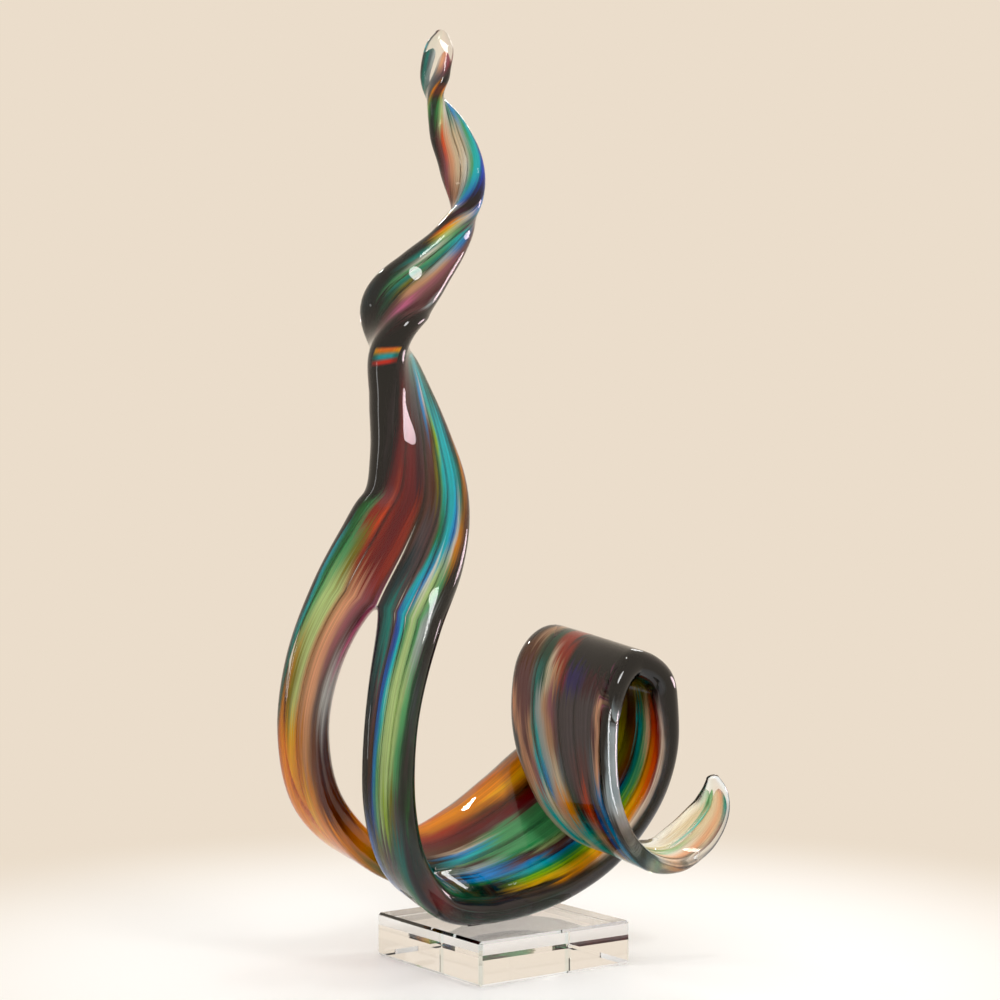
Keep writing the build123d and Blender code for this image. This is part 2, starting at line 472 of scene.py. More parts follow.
# Lanes are counted across each half of the band, from the far edge (-1) to the near edge (1). Rows give a place
# down the ribbon, the cane's far lane and its near lane
CANES = (
    CaneRun("turquoise_cane", ((8.0, -0.95, -0.80), (10.5, -0.96, -0.82), (15.5, -0.965, -0.86), (17.5, -0.96, -0.90))),
    CaneRun("lime_cane", ((10.0, -0.80, -0.60), (12.5, -0.84, -0.53), (15.5, -0.84, -0.51), (17.0, -0.74, -0.50),
                          (18.2, -0.58, -0.50))),
    CaneRun("amber_cane", ((16.0, -0.88, -0.84), (17.5, -0.89, -0.72), (18.6, -0.96, -0.50), (22.0, -0.965, -0.48),
                           (27.0, -0.96, -0.48), (28.2, -0.80, -0.52))),
    CaneRun("coral_cane", ((27.6, -0.95, -0.84), (28.6, -0.96, -0.52), (32.6, -0.95, -0.50), (33.8, -0.94, -0.88))),
    CaneRun("ruby_cane", ((1.2, -0.80, -0.02), (4.0, -0.94, -0.02), (7.5, -0.94, -0.02), (9.0, -0.78, -0.02),
                          (12.0, -0.50, -0.02), (15.0, -0.49, -0.03), (20.0, -0.48, -0.03), (26.0, -0.46, -0.02),
                          (27.4, -0.30, -0.10))),
    CaneRun("smoke_cane", ((26.8, -0.46, -0.34), (27.8, -0.50, -0.02), (33.0, -0.48, -0.02), (34.4, -0.88, -0.32), (38.2, -0.88, -0.34))),
    CaneRun("teal_cane", ((2.5, 0.02, 0.28), (9.0, 0.02, 0.28), (20.0, 0.03, 0.26), (29.0, 0.02, 0.28),
                          (33.0, 0.02, 0.28), (34.6, -0.28, -0.16), (38.2, -0.28, -0.16))),
    CaneRun("amethyst_cane", ((8.8, 0.31, 0.42), (11.0, 0.30, 0.43), (20.0, 0.28, 0.44), (28.5, 0.30, 0.46),
                              (30.5, 0.30, 0.93), (33.0, 0.30, 0.92), (34.6, -0.12, 0.72), (38.2, -0.10, 0.72))),
    CaneRun("cobalt_cane", ((1.2, 0.10, 0.80), (2.4, 0.32, 0.92), (8.5, 0.32, 0.94), (10.5, 0.46, 0.62),
                            (20.0, 0.46, 0.62), (24.0, 0.48, 0.66), (28.0, 0.48, 0.66), (29.6, 0.60, 0.74))),
    CaneRun("jade_cane", ((9.8, 0.66, 0.95), (12.0, 0.64, 0.96), (20.5, 0.64, 0.96), (22.0, 0.82, 0.95))),
    CaneRun("topaz_cane", ((20.8, 0.64, 0.74), (22.4, 0.65, 0.96), (24.0, 0.68, 0.96), (28.0, 0.68, 0.96),
                           (30.2, 0.93, 0.96))),
)


@dataclass
class ColouredCane:
    """One coloured cane inside the casing, as thick as the casing allows and rounded at both ends."""

    band: BandShape
    course: CaneRun
    fill: float = 0.88
    taper: float = 0.9
    steps_per_station: int = 10
    points_round: int = 28
    nose: float = 0.05
    squareness: float = 0.28
    spread: float = 0.009

    def build(self) -> bpy.types.Object:
        """Builds the cane's mesh.

        Returns:
            The cane.
        """
        start, end = self.course.rows[0][0], self.course.rows[-1][0]
        count = round((end - start) * self.steps_per_station)
        points, places, lanes, faces = [], [], [], []
        for step in range(count + 1):
            place = start + (end - start) * step / count
            section = self.band.section(place)
            far, near = self.course.bounds(place)
            far, near = far - self.spread, near + self.spread
            side = 1 if near > 0 else -1
            half_band = (section.width - section.gap) / 2
            from_end = min(min(place - start, end - place) / self.taper, 1.0)
            size = self.nose + (1 - self.nose) * math.sqrt(1 - (1 - from_end) ** 2)
            for index in range(self.points_round):
                angle = 2 * math.pi * index / self.points_round
                swing = math.copysign(abs(math.cos(angle)) ** self.squareness, math.cos(angle))
                lane = (far + near) / 2 + (near - far) / 2 * swing * size
                lift = math.copysign(abs(math.sin(angle)) ** self.squareness, math.sin(angle))
                across = side * section.gap / 2 + lane * half_band
                up = lift * self.fill * size * self.band.half_height(section, across)
                points.append(section.point(across, up))
                places.append(place)
                lanes.append(lane)
            if step:
                base = (step - 1) * self.points_round
                for i in range(self.points_round):
                    j = (i + 1) % self.points_round
                    faces.append((base + i, base + self.points_round + i, base + self.points_round + j, base + j))
        last = count * self.points_round
        faces.append(tuple(range(self.points_round)))
        faces.append(tuple(reversed(range(last, last + self.points_round))))
        node = self.course.node
        piece = new_piece(node.replace("_cane", "_streak"), points, faces, (node,))
        store(piece.data, "place", places)
        store(piece.data, "lane", lanes)
        return piece


class Rod(Enum):
    """Colours of the glass rods that were laid in the gather, and of the stretches where two of them run together; at
    some lanes BLACK and INK stand for painted shade, and SMOKE, SILVER and CLEAR for painted reflections and
    highlights.
    """

    BLACK = "#020203"
    INK = "#0E0A10"
    SMOKE = "#544A50"
    SLATE = "#5C6872"
    SILVER = "#B8C2C6"
    CLEAR = "#ECE8E2"
    CREAM = "#E8DAC2"
    TAN = "#D0A684"
    PEACH = "#EEBC9C"
    ROSE = "#D478A4"
    DUSK = "#A46A78"
    MAUVE = "#6E4648"
    PLUM = "#481020"
    RUBY = "#780210"
    BRICK = "#A4301A"
    CORAL = "#F06A48"
    ORANGE = "#F8A414"
    AMBER = "#D88C1C"
    BROWN = "#5E2E0C"
    YELLOW = "#FFCC28"
    OLIVE = "#84801C"
    LIME = "#A8C828"
    PALE_LIME = "#CCE2A6"
    SAGE = "#62B07C"
    JADE = "#0E9050"
    BOTTLE = "#0A4A34"
    DEEP_TEAL = "#06303A"
    TEAL = "#0A8C84"
    TURQUOISE = "#00CCD8"
    SKY = "#189CE8"
    COBALT = "#0666D0"
    VIOLET = "#322470"


@dataclass(frozen=True)
class Streak:
    """The rods across the band at one place: a lane and a rod for each."""

    place: float
    rods: tuple[tuple[float, Rod], ...]


# Rods across the band, from the far edge (-1) to the near edge (1), at places down the ribbon. Where BLACK or INK
# stands at the very edge, at lanes of about 0.97 and beyond either way, it is painted shade: the dark outlines that
# refraction gives along the rims.
STREAKS = (
    Streak(0.4, ((-0.9, Rod.INK), (-0.4, Rod.BRICK), (0.0, Rod.CREAM), (0.4, Rod.SAGE), (0.9, Rod.INK))),
    Streak(1.6, ((-0.97, Rod.INK), (-0.84, Rod.RUBY), (-0.6, Rod.DUSK), (-0.3, Rod.PEACH),
                 (0.0, Rod.CLEAR), (0.3, Rod.SILVER), (0.5, Rod.SLATE), (0.72, Rod.TEAL),
                 (0.95, Rod.DEEP_TEAL))),
    Streak(2.4, ((-0.97, Rod.INK), (-0.7, Rod.SMOKE), (-0.2, Rod.SLATE), (0.2, Rod.SILVER), (0.6, Rod.TEAL),
                 (0.95, Rod.INK))),
    Streak(2.9, ((-0.97, Rod.BROWN), (-0.8, Rod.ORANGE), (-0.62, Rod.SLATE), (0.0, Rod.CLEAR),
                 (0.5, Rod.TEAL), (0.95, Rod.INK))),
    Streak(3.3, ((-0.99, Rod.DEEP_TEAL), (-0.93, Rod.SAGE), (-0.6, Rod.PALE_LIME), (-0.3, Rod.CLEAR),
                 (0.1, Rod.TEAL), (0.5, Rod.SKY), (0.95, Rod.INK))),
    Streak(4.2, ((-0.98, Rod.INK), (-0.86, Rod.PLUM), (-0.7, Rod.MAUVE), (-0.56, Rod.CORAL),
                 (-0.4, Rod.PEACH), (-0.1, Rod.CREAM), (0.3, Rod.CREAM), (0.5, Rod.SILVER),
                 (0.66, Rod.SAGE), (0.8, Rod.TURQUOISE), (0.95, Rod.TEAL))),
    Streak(5.1, ((-0.97, Rod.PLUM), (-0.84, Rod.MAUVE), (-0.62, Rod.DUSK), (-0.4, Rod.PEACH),
                 (-0.1, Rod.CREAM), (0.3, Rod.CLEAR), (0.5, Rod.SAGE), (0.66, Rod.TURQUOISE),
                 (0.84, Rod.TURQUOISE), (0.95, Rod.COBALT))),
    Streak(5.9, ((-0.97, Rod.INK), (-0.7, Rod.BRICK), (-0.4, Rod.BROWN), (-0.1, Rod.TAN),
                 (0.2, Rod.SILVER), (0.45, Rod.TURQUOISE), (0.62, Rod.SKY), (0.8, Rod.COBALT),
                 (0.95, Rod.PLUM))),
    Streak(6.3, ((-0.97, Rod.INK), (-0.5, Rod.PLUM), (0.0, Rod.MAUVE), (0.5, Rod.SLATE), (0.8, Rod.CLEAR),
                 (0.92, Rod.SILVER), (0.98, Rod.PLUM))),
    Streak(6.9, ((-0.97, Rod.INK), (-0.5, Rod.MAUVE), (-0.2, Rod.SKY), (0.1, Rod.TURQUOISE), (0.4, Rod.SAGE),
                 (0.65, Rod.PALE_LIME), (0.78, Rod.YELLOW), (0.92, Rod.ORANGE), (0.98, Rod.INK))),
    Streak(7.6, ((-0.97, Rod.INK), (-0.8, Rod.PLUM), (-0.62, Rod.MAUVE), (-0.44, Rod.DUSK),
                 (-0.26, Rod.TAN), (-0.1, Rod.SILVER), (0.06, Rod.TEAL), (0.24, Rod.SAGE),
                 (0.44, Rod.CLEAR), (0.6, Rod.TEAL), (0.74, Rod.INK), (0.97, Rod.BLACK))),
    Streak(8.6, ((-0.97, Rod.INK), (-0.84, Rod.SILVER), (-0.74, Rod.PLUM), (-0.58, Rod.MAUVE),
                 (-0.4, Rod.DUSK), (-0.2, Rod.TAN), (0.04, Rod.OLIVE), (0.2, Rod.TEAL), (0.34, Rod.SAGE),
                 (0.46, Rod.BOTTLE), (0.6, Rod.BLACK), (0.97, Rod.BLACK))),
    Streak(9.1, ((-0.97, Rod.INK), (-0.8, Rod.MAUVE), (-0.62, Rod.PLUM), (-0.4, Rod.ROSE), (-0.2, Rod.MAUVE),
                 (0.1, Rod.BOTTLE), (0.3, Rod.INK), (0.97, Rod.DEEP_TEAL))),
    Streak(9.6, ((-0.99, Rod.BLACK), (-0.9, Rod.PLUM), (-0.7, Rod.INK), (-0.4, Rod.MAUVE), (0.0, Rod.INK),
                 (0.97, Rod.BLACK))),
    Streak(9.96, ((-0.99, Rod.BLACK), (-0.84, Rod.BLACK), (-0.4, Rod.INK), (0.97, Rod.BLACK))),
    Streak(10.04, ((-0.99, Rod.ORANGE), (-0.84, Rod.YELLOW), (-0.74, Rod.INK), (0.2, Rod.BOTTLE),
                   (0.97, Rod.BLACK))),
    Streak(10.16, ((-0.99, Rod.TURQUOISE), (-0.84, Rod.TEAL), (-0.74, Rod.INK), (0.2, Rod.TEAL),
                   (0.97, Rod.BLACK))),
    Streak(10.25, ((-0.99, Rod.CORAL), (-0.84, Rod.BRICK), (-0.74, Rod.INK), (-0.3, Rod.DEEP_TEAL),
                   (0.2, Rod.TURQUOISE), (0.97, Rod.BROWN))),
    Streak(10.33, ((-0.99, Rod.BLACK), (-0.8, Rod.INK), (-0.4, Rod.PLUM), (0.0, Rod.TEAL), (0.3, Rod.TURQUOISE),
                  (0.6, Rod.BOTTLE), (0.97, Rod.BROWN))),
    # Painted light here: the SMOKE at -0.92 is a painted reflection on the far edge, and the CLEAR at 0.24 is a painted
    # highlight line.
    Streak(11.2, ((-0.99, Rod.BLACK), (-0.92, Rod.SMOKE), (-0.8, Rod.INK), (-0.62, Rod.RUBY), (-0.42, Rod.PLUM),
                  (-0.2, Rod.SMOKE), (0.02, Rod.SLATE), (0.14, Rod.SKY), (0.24, Rod.CLEAR), (0.34, Rod.TURQUOISE),
                  (0.52, Rod.TEAL), (0.7, Rod.BOTTLE), (0.82, Rod.BROWN), (0.98, Rod.INK))),
    # The SMOKE at -0.94 is a painted reflection on the far edge.
    Streak(12.0, ((-0.99, Rod.BLACK), (-0.94, Rod.SMOKE), (-0.88, Rod.INK), (-0.82, Rod.PLUM),
                  (-0.68, Rod.RUBY), (-0.32, Rod.RUBY), (-0.18, Rod.PLUM), (-0.04, Rod.SMOKE),
                  (0.12, Rod.MAUVE), (0.24, Rod.BROWN), (0.3, Rod.OLIVE), (0.36, Rod.LIME),
                  (0.42, Rod.TURQUOISE), (0.62, Rod.TURQUOISE), (0.72, Rod.DEEP_TEAL), (0.84, Rod.BROWN),
                  (0.98, Rod.INK))),
    Streak(12.6, ((-0.98, Rod.BLACK), (-0.93, Rod.INK), (-0.87, Rod.PLUM), (-0.76, Rod.RUBY),
                  (-0.6, Rod.BRICK), (-0.5, Rod.RUBY), (-0.3, Rod.RUBY), (-0.16, Rod.PLUM),
                  (-0.02, Rod.MAUVE), (0.16, Rod.BROWN), (0.26, Rod.OLIVE), (0.32, Rod.SAGE),
                  (0.38, Rod.TURQUOISE), (0.62, Rod.TURQUOISE), (0.72, Rod.TEAL), (0.78, Rod.BOTTLE),
                  (0.84, Rod.AMBER), (0.92, Rod.BROWN), (0.98, Rod.BLACK))),
    Streak(13.6, ((-0.98, Rod.INK), (-0.92, Rod.JADE), (-0.84, Rod.SAGE), (-0.75, Rod.BRICK),
                  (-0.66, Rod.BRICK), (-0.6, Rod.CORAL), (-0.54, Rod.BRICK), (-0.4, Rod.RUBY),
                  (-0.28, Rod.RUBY), (-0.14, Rod.BRICK), (-0.02, Rod.BROWN), (0.12, Rod.SMOKE),
                  (0.3, Rod.MAUVE), (0.36, Rod.JADE), (0.44, Rod.TEAL), (0.52, Rod.TURQUOISE),
                  (0.62, Rod.SKY), (0.68, Rod.CLEAR), (0.74, Rod.AMBER), (0.84, Rod.BROWN),
                  (0.98, Rod.BLACK))),
    Streak(14.4, ((-0.98, Rod.INK), (-0.93, Rod.TURQUOISE), (-0.86, Rod.JADE), (-0.76, Rod.SAGE),
                  (-0.66, Rod.OLIVE), (-0.56, Rod.BRICK), (-0.3, Rod.RUBY), (-0.12, Rod.BRICK),
                  (-0.02, Rod.MAUVE), (0.04, Rod.INK), (0.12, Rod.DEEP_TEAL), (0.24, Rod.SMOKE),
                  (0.31, Rod.MAUVE), (0.37, Rod.TURQUOISE), (0.46, Rod.SKY), (0.53, Rod.CLEAR),
                  (0.6, Rod.PALE_LIME), (0.7, Rod.SAGE), (0.78, Rod.BLACK), (0.98, Rod.BLACK))),
    Streak(15.2, ((-0.98, Rod.INK), (-0.93, Rod.TURQUOISE), (-0.86, Rod.SAGE), (-0.74, Rod.PALE_LIME),
                  (-0.58, Rod.PALE_LIME), (-0.48, Rod.TAN), (-0.34, Rod.PEACH), (-0.2, Rod.DUSK),
                  (-0.08, Rod.PLUM), (-0.02, Rod.ROSE), (0.04, Rod.SMOKE), (0.1, Rod.DEEP_TEAL),
                  (0.22, Rod.TEAL), (0.3, Rod.MAUVE), (0.36, Rod.COBALT), (0.42, Rod.TURQUOISE),
                  (0.48, Rod.SAGE), (0.56, Rod.PALE_LIME), (0.66, Rod.SAGE), (0.74, Rod.SILVER),
                  (0.84, Rod.INK), (0.98, Rod.BLACK))),
    Streak(16.4, ((-0.98, Rod.BROWN), (-0.9, Rod.TEAL), (-0.82, Rod.AMBER), (-0.7, Rod.OLIVE),
                  (-0.58, Rod.PALE_LIME), (-0.46, Rod.TAN), (-0.3, Rod.PEACH), (-0.18, Rod.SMOKE),
                  (-0.04, Rod.SILVER), (0.04, Rod.BLACK), (0.16, Rod.DEEP_TEAL), (0.24, Rod.MAUVE),
                  (0.32, Rod.COBALT), (0.4, Rod.TURQUOISE), (0.48, Rod.PALE_LIME), (0.68, Rod.PALE_LIME),
                  (0.78, Rod.SAGE), (0.86, Rod.BOTTLE), (0.92, Rod.SLATE), (0.99, Rod.BOTTLE))),
    Streak(17.3, ((-0.98, Rod.BROWN), (-0.88, Rod.AMBER), (-0.76, Rod.ORANGE), (-0.6, Rod.YELLOW),
                  (-0.46, Rod.AMBER), (-0.32, Rod.TAN), (-0.16, Rod.BROWN), (-0.04, Rod.SMOKE),
                  (0.04, Rod.BLACK), (0.16, Rod.INK), (0.26, Rod.BROWN), (0.34, Rod.SKY),
                  (0.41, Rod.SAGE), (0.48, Rod.PALE_LIME), (0.66, Rod.PALE_LIME), (0.76, Rod.SAGE),
                  (0.84, Rod.BOTTLE), (0.92, Rod.SMOKE), (0.99, Rod.BOTTLE))),
    Streak(18.1, ((-0.98, Rod.BROWN), (-0.8, Rod.ORANGE), (-0.6, Rod.ORANGE), (-0.4, Rod.YELLOW),
                  (-0.26, Rod.AMBER), (-0.12, Rod.BROWN), (-0.04, Rod.BROWN), (0.04, Rod.BLACK),
                  (0.2, Rod.INK), (0.3, Rod.COBALT), (0.38, Rod.SAGE), (0.48, Rod.PALE_LIME),
                  (0.6, Rod.LIME), (0.7, Rod.OLIVE), (0.8, Rod.SMOKE), (0.9, Rod.BOTTLE),
                  (0.95, Rod.JADE), (0.99, Rod.INK))),
    Streak(18.7, ((-0.98, Rod.AMBER), (-0.8, Rod.ORANGE), (-0.6, Rod.YELLOW), (-0.4, Rod.ORANGE),
                  (-0.14, Rod.ORANGE), (-0.04, Rod.AMBER), (0.04, Rod.BLACK), (0.14, Rod.COBALT), (0.3, Rod.OLIVE),
                  (0.5, Rod.BROWN), (0.64, Rod.BOTTLE), (0.82, Rod.TEAL), (0.92, Rod.SMOKE), (0.99, Rod.BOTTLE))),
    Streak(19.6, ((-0.98, Rod.AMBER), (-0.8, Rod.ORANGE), (-0.6, Rod.AMBER), (-0.4, Rod.BROWN), (-0.2, Rod.AMBER),
                  (-0.04, Rod.OLIVE), (0.04, Rod.DEEP_TEAL), (0.3, Rod.COBALT), (0.5, Rod.BOTTLE), (0.74, Rod.JADE),
                  (0.88, Rod.SMOKE), (0.95, Rod.SMOKE), (0.99, Rod.BRICK))),
    Streak(20.4, ((-0.97, Rod.TAN), (-0.84, Rod.ORANGE), (-0.68, Rod.BRICK), (-0.5, Rod.RUBY), (-0.3, Rod.BROWN),
                  (-0.12, Rod.INK), (0.1, Rod.BOTTLE), (0.34, Rod.INK), (0.56, Rod.BOTTLE), (0.8, Rod.BOTTLE),
                  (0.95, Rod.SMOKE), (0.99, Rod.BOTTLE))),
    Streak(21.3, ((-0.97, Rod.TAN), (-0.84, Rod.ORANGE), (-0.7, Rod.AMBER), (-0.58, Rod.BRICK),
                  (-0.42, Rod.RUBY), (-0.28, Rod.BROWN), (-0.2, Rod.CREAM), (-0.15, Rod.SKY),
                  (-0.04, Rod.TURQUOISE), (0.04, Rod.SAGE), (0.12, Rod.PLUM), (0.2, Rod.SILVER),
                  (0.26, Rod.SKY), (0.4, Rod.SKY), (0.48, Rod.JADE), (0.54, Rod.INK), (0.7, Rod.BLACK),
                  (0.9, Rod.SMOKE), (0.99, Rod.BOTTLE))),
    Streak(22.4, ((-0.98, Rod.SILVER), (-0.9, Rod.TAN), (-0.8, Rod.ORANGE), (-0.66, Rod.AMBER),
                  (-0.54, Rod.BROWN), (-0.42, Rod.RUBY), (-0.32, Rod.MAUVE), (-0.24, Rod.SAGE),
                  (0.16, Rod.SAGE), (0.22, Rod.JADE), (0.3, Rod.PLUM), (0.38, Rod.MAUVE), (0.42, Rod.SKY),
                  (0.52, Rod.TURQUOISE), (0.58, Rod.JADE), (0.64, Rod.LIME), (0.7, Rod.YELLOW),
                  (0.76, Rod.INK), (0.86, Rod.SMOKE), (0.99, Rod.BOTTLE))),
    Streak(23.2, ((-0.98, Rod.SILVER), (-0.9, Rod.TAN), (-0.82, Rod.AMBER), (-0.74, Rod.ORANGE),
                  (-0.65, Rod.YELLOW), (-0.58, Rod.AMBER), (-0.48, Rod.BROWN), (-0.36, Rod.RUBY),
                  (-0.24, Rod.MAUVE), (-0.16, Rod.SAGE), (0.22, Rod.SAGE), (0.32, Rod.PALE_LIME), (0.38, Rod.PLUM),
                  (0.47, Rod.MAUVE), (0.53, Rod.SKY), (0.59, Rod.JADE), (0.66, Rod.LIME), (0.73, Rod.YELLOW),
                  (0.82, Rod.ORANGE), (0.89, Rod.SMOKE), (0.99, Rod.SMOKE))),
    Streak(24.4, ((-0.98, Rod.SILVER), (-0.88, Rod.TAN), (-0.8, Rod.ORANGE), (-0.66, Rod.YELLOW), (-0.5, Rod.BROWN),
                  (-0.3, Rod.RUBY), (-0.16, Rod.SAGE), (0.2, Rod.SAGE), (0.34, Rod.PLUM), (0.42, Rod.MAUVE),
                  (0.48, Rod.SKY), (0.54, Rod.JADE), (0.62, Rod.LIME), (0.7, Rod.YELLOW), (0.8, Rod.ORANGE),
                  (0.87, Rod.CLEAR), (0.93, Rod.SLATE), (0.99, Rod.INK))),
    Streak(25.3, ((-0.96, Rod.SILVER), (-0.7, Rod.AMBER), (-0.4, Rod.BROWN), (0.0, Rod.OLIVE), (0.3, Rod.OLIVE),
                  (0.44, Rod.BROWN), (0.54, Rod.TEAL), (0.62, Rod.SAGE), (0.7, Rod.ORANGE), (0.8, Rod.CORAL),
                  (0.85, Rod.RUBY), (0.89, Rod.CLEAR), (0.94, Rod.SLATE), (0.99, Rod.BLACK))),
    Streak(26.2, ((-0.97, Rod.BROWN), (-0.5, Rod.OLIVE), (0.2, Rod.OLIVE), (0.3, Rod.BROWN), (0.44, Rod.BROWN),
                  (0.51, Rod.TURQUOISE), (0.58, Rod.SAGE), (0.64, Rod.PEACH), (0.74, Rod.CORAL), (0.82, Rod.RUBY),
                  (0.87, Rod.CLEAR), (0.93, Rod.SLATE), (0.99, Rod.BLACK))),
    Streak(27.1, ((-0.97, Rod.BLACK), (-0.7, Rod.BROWN), (-0.3, Rod.INK), (0.3, Rod.BROWN), (0.5, Rod.OLIVE),
                  (0.8, Rod.INK), (0.92, Rod.SMOKE), (0.99, Rod.BLACK))),
    Streak(28.2, ((-0.97, Rod.BLACK), (-0.82, Rod.INK), (-0.68, Rod.TAN), (-0.56, Rod.BOTTLE),
                  (-0.42, Rod.BOTTLE), (-0.32, Rod.BRICK), (-0.18, Rod.BRICK), (-0.08, Rod.INK),
                  (0.97, Rod.BLACK))),
    Streak(28.9, ((-0.97, Rod.INK), (-0.84, Rod.BROWN), (-0.66, Rod.BROWN), (-0.5, Rod.BOTTLE),
                  (-0.36, Rod.BOTTLE), (-0.28, Rod.CREAM), (-0.2, Rod.BRICK), (-0.04, Rod.BRICK),
                  (0.04, Rod.INK), (0.97, Rod.BLACK))),
    Streak(29.35, ((-0.97, Rod.INK), (-0.84, Rod.MAUVE), (-0.62, Rod.MAUVE), (-0.46, Rod.TEAL),
                   (-0.34, Rod.BOTTLE), (-0.26, Rod.CREAM), (-0.12, Rod.TAN), (0.0, Rod.BRICK),
                   (0.12, Rod.VIOLET), (0.3, Rod.VIOLET), (0.44, Rod.PLUM), (0.72, Rod.PLUM),
                   (0.78, Rod.ROSE), (0.84, Rod.BLACK), (0.97, Rod.INK))),
    # In this streak and the next three, the BLACK or INK and the SILVER lanes from about 0.8 outwards are painted shade
    # and a painted highlight along the round near edge.
    Streak(29.9, ((-0.97, Rod.INK), (-0.86, Rod.PEACH), (-0.76, Rod.MAUVE), (-0.58, Rod.MAUVE),
                  (-0.48, Rod.TEAL), (-0.38, Rod.SILVER), (-0.26, Rod.TAN), (-0.16, Rod.DUSK),
                  (-0.04, Rod.SMOKE), (0.66, Rod.SMOKE), (0.76, Rod.PEACH), (0.82, Rod.PLUM),
                  (0.9, Rod.BLACK), (0.97, Rod.SILVER))),
    Streak(30.6, ((-0.97, Rod.DEEP_TEAL), (-0.86, Rod.SLATE), (-0.8, Rod.PEACH), (-0.68, Rod.MAUVE),
                  (-0.56, Rod.TAN), (-0.49, Rod.TEAL), (-0.42, Rod.TURQUOISE), (-0.34, Rod.SILVER),
                  (-0.2, Rod.TAN), (-0.08, Rod.MAUVE), (0.02, Rod.SMOKE), (0.6, Rod.SMOKE),
                  (0.7, Rod.MAUVE), (0.76, Rod.PEACH), (0.81, Rod.BLACK), (0.89, Rod.BLACK),
                  (0.95, Rod.SILVER))),
    Streak(31.4, ((-0.97, Rod.SLATE), (-0.84, Rod.TAN), (-0.72, Rod.PEACH), (-0.6, Rod.DUSK),
                  (-0.52, Rod.TURQUOISE), (-0.43, Rod.SKY), (-0.34, Rod.SILVER), (-0.18, Rod.CREAM),
                  (-0.04, Rod.SLATE), (0.1, Rod.SMOKE), (0.3, Rod.MAUVE), (0.5, Rod.MAUVE),
                  (0.62, Rod.SLATE), (0.74, Rod.PEACH), (0.8, Rod.BLACK), (0.88, Rod.BLACK),
                  (0.95, Rod.SILVER))),
    Streak(32.1, ((-0.97, Rod.SILVER), (-0.82, Rod.CREAM), (-0.66, Rod.TURQUOISE), (-0.54, Rod.CREAM),
                  (-0.34, Rod.PEACH), (-0.16, Rod.ORANGE), (0.04, Rod.BOTTLE), (0.2, Rod.PLUM),
                  (0.36, Rod.CORAL), (0.5, Rod.INK), (0.62, Rod.SLATE), (0.72, Rod.SKY), (0.8, Rod.INK),
                  (0.9, Rod.SILVER), (0.97, Rod.SILVER))),
    Streak(32.9, ((-0.97, Rod.CLEAR), (-0.8, Rod.CREAM), (-0.62, Rod.TURQUOISE), (-0.44, Rod.CREAM),
                  (-0.16, Rod.TURQUOISE), (0.1, Rod.TEAL), (0.28, Rod.PEACH), (0.44, Rod.BROWN),
                  (0.56, Rod.COBALT), (0.66, Rod.SLATE), (0.76, Rod.SKY), (0.86, Rod.INK),
                  (0.97, Rod.CLEAR))),
    Streak(34.6, ((-0.97, Rod.CLEAR), (-0.6, Rod.CLEAR), (-0.2, Rod.CREAM), (0.0, Rod.SAGE), (0.14, Rod.CLEAR),
                  (0.4, Rod.PEACH), (0.6, Rod.BLACK), (0.7, Rod.CLEAR), (0.86, Rod.SLATE), (0.97, Rod.CLEAR))),
    Streak(36.6, ((-0.97, Rod.CLEAR), (-0.6, Rod.CREAM), (-0.3, Rod.CREAM), (-0.24, Rod.TURQUOISE),
                  (-0.14, Rod.CREAM), (0.1, Rod.CREAM), (0.44, Rod.PEACH), (0.6, Rod.CREAM), (0.74, Rod.MAUVE),
                  (0.84, Rod.SLATE), (0.92, Rod.SMOKE), (0.98, Rod.CLEAR))),
    Streak(37.9, ((-0.97, Rod.SMOKE), (-0.7, Rod.CLEAR), (-0.3, Rod.SAGE), (0.0, Rod.CREAM), (0.4, Rod.PEACH),
                  (0.7, Rod.TEAL), (0.88, Rod.SKY), (0.97, Rod.INK))),
    Streak(38.8, ((-0.9, Rod.INK), (-0.3, Rod.TEAL), (0.1, Rod.SMOKE), (0.5, Rod.SKY), (0.95, Rod.INK))),
)


